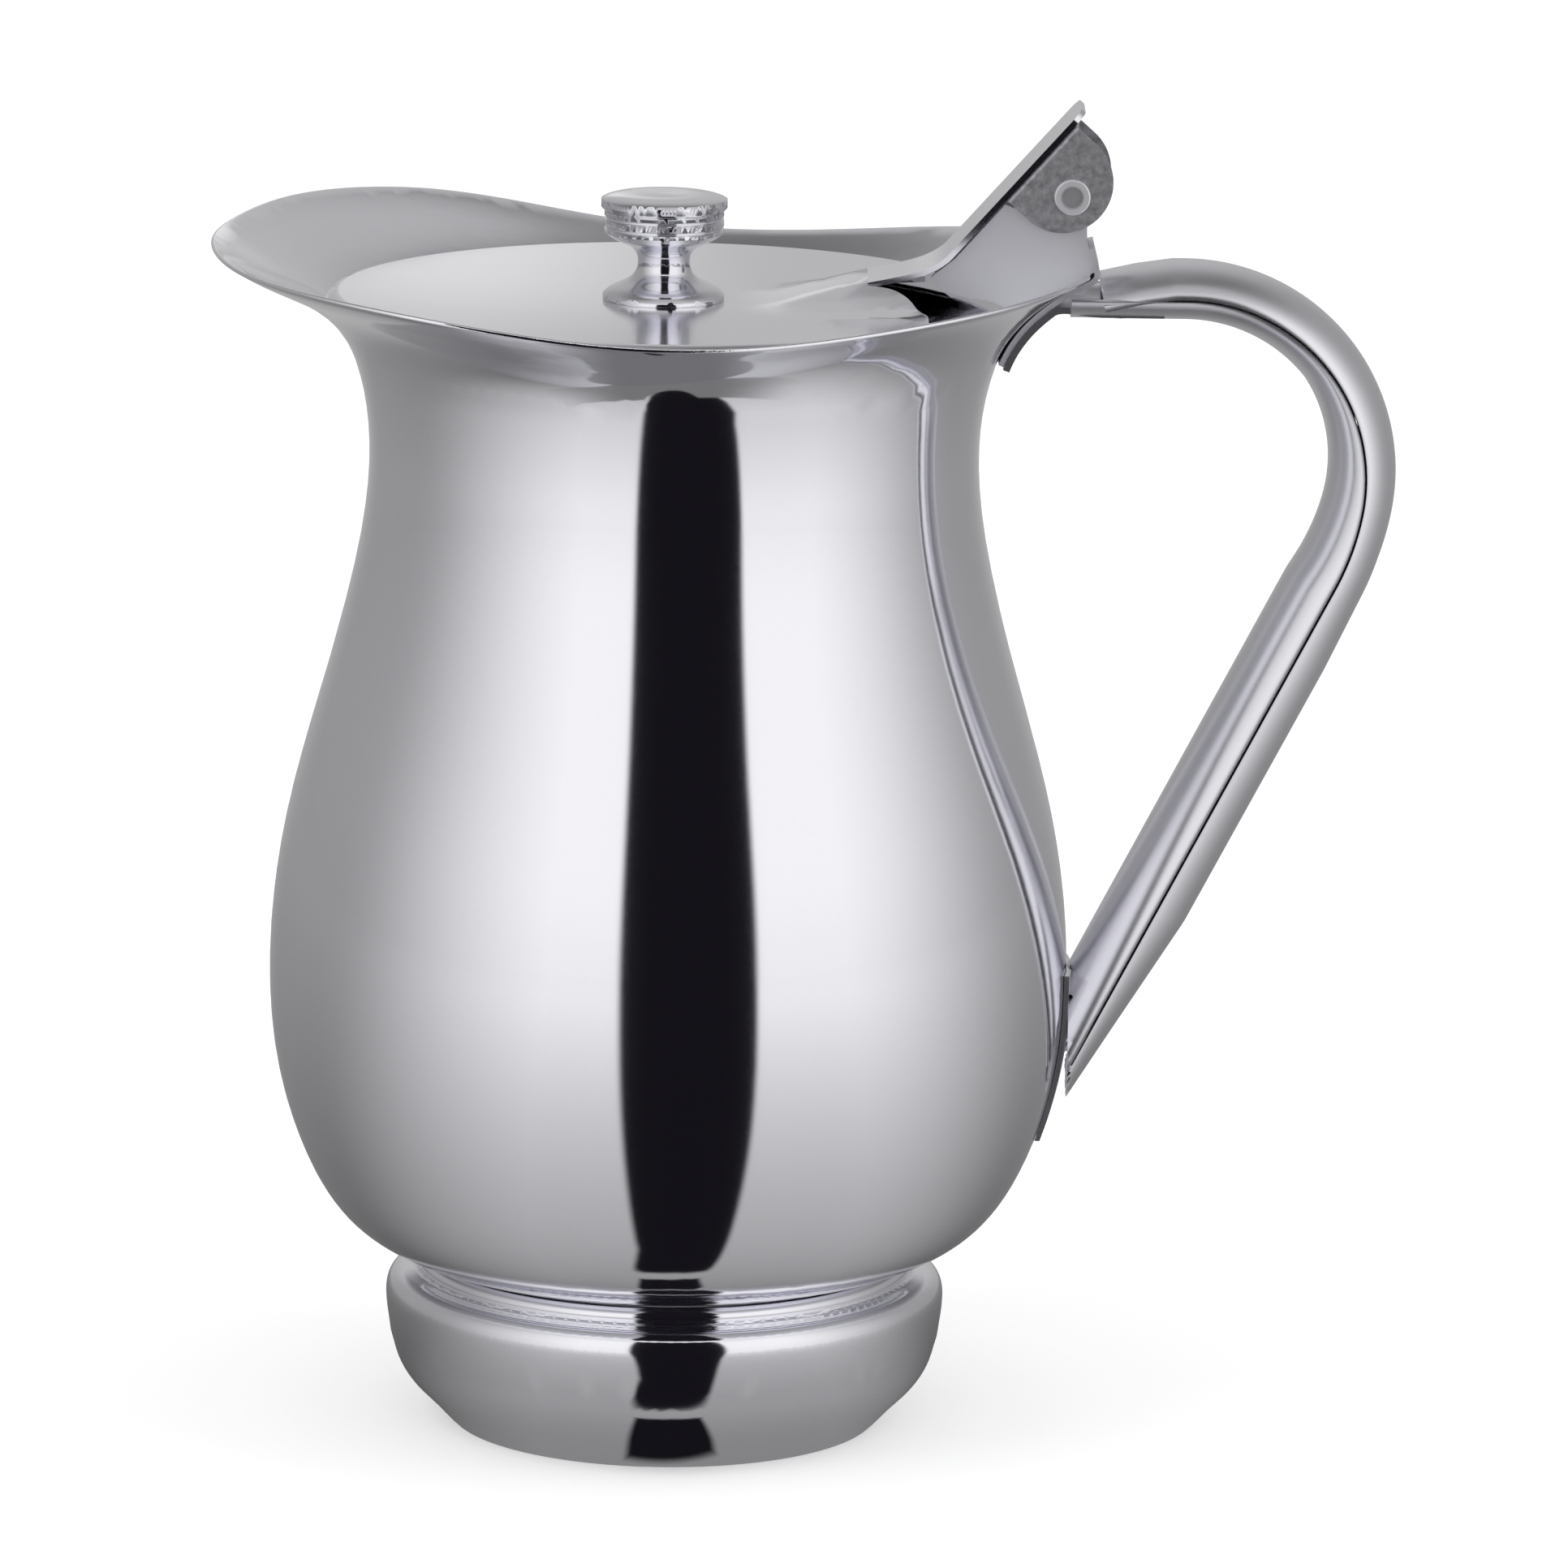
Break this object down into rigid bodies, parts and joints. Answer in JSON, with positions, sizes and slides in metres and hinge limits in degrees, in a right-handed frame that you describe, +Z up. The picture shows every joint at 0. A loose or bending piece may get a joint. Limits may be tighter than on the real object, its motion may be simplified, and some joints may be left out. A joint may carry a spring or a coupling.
{
  "type": "lidded jug",
  "caption": "Footed steel serving jug with a flared mouth and spout, a hollow strap handle and a hinged lid with a thumb lever.",
  "frame": {"origin": "centre of the circle on which the foot rests", "axes": "+Z up through the mouth, the handle along +X and the spout along -X"},
  "size_m": [0.2146, 0.1526, 0.2441],
  "materials": {
    "polished_sheet": "polished",
    "handle_steel": "satin",
    "hinge_steel": "satin",
    "plain_steel": "plain"
  },
  "bodies": {
    "jug": {"jug_body": "polished_sheet", "foot_ring": "polished_sheet", "handle_outer_shell": "handle_steel", "handle_inner_shell": "handle_steel", "handle_top_plate": "plain_steel", "handle_top_rivet": "plain_steel", "handle_lower_plate": "handle_steel", "hinge_bracket": "handle_steel"},
    "lid": {"lid": "polished_sheet", "lid_knob": "polished_sheet", "knob_screw": "plain_steel", "knob_washer": "plain_steel", "hinge_saddle": "hinge_steel", "hinge_pin": "plain_steel"}
  },
  "joints": [
    {"name": "lid_hinge", "type": "hinge", "parent": "jug", "child": "lid", "pos_m": [0.071, 0, 0.2285], "axis": [0, 1, 0], "range_deg": [0, 80]}
  ]
}
